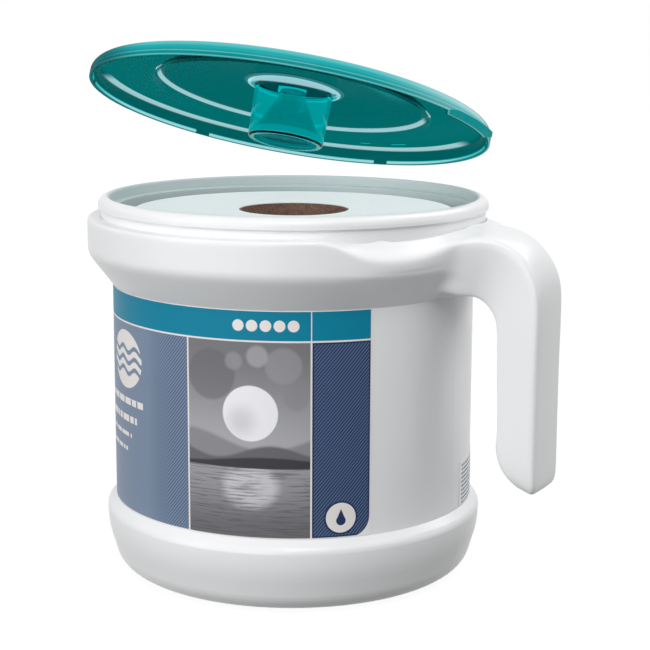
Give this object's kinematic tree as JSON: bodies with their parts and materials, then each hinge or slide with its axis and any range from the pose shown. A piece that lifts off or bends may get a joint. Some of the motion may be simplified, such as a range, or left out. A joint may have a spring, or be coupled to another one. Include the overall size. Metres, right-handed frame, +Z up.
{
  "type": "countertop wipes dispenser",
  "caption": "carried round tub for a centre-feed roll of wipes, with a hanging side handle, a hollow shoulder, a base shell and a transparent lid with a funnel that the wipes are pulled through",
  "frame": {"origin": "the point on the surface that the tub stands on, in the middle of its foot ring", "axes": "+X points from the tub towards the handle, +Z points up along the axis of the tub, and +Y completes a right-handed frame"},
  "size_m": [0.2804, 0.2364, 0.3059],
  "materials": {
    "white_plastic": "moulded gloss",
    "clear_teal_plastic": "transparent tinted gloss",
    "label_film": "printed film, satin",
    "wipes": "wound nonwoven",
    "cardboard": "raw",
    "rubber": "matt",
    "screw_steel": "zinc plated"
  },
  "bodies": {
    "container": {"tub": "white_plastic", "tub_rim": "white_plastic", "tub_foot": "white_plastic", "shoulder_collar": "white_plastic", "handle": "white_plastic", "handle_cover": "white_plastic", "handle_cover_screws": "screw_steel", "handle_root_screws": "screw_steel", "base_shell": "white_plastic", "base_screws": "screw_steel", "foot_ring": "rubber", "label_wrap": "label_film", "info_label": "label_film"},
    "roll": {"paper_roll": "wipes", "roll_core": "cardboard"},
    "lid": {"lid_disc": "clear_teal_plastic", "nozzle_cup": "clear_teal_plastic", "nozzle_cone": "clear_teal_plastic"}
  },
  "joints": [
    {"name": "lid_open", "type": "hinge", "parent": "container", "child": "lid", "pos_m": [0, 0.15864, 0.22671], "axis": [-0.996, 0, -0.0896], "range_deg": [-18.75, 45]},
    {"name": "roll_spin", "type": "hinge", "parent": "container", "child": "roll", "pos_m": [0, 0, 0.1], "axis": [0, 0, 1], "continuous": true}
  ]
}
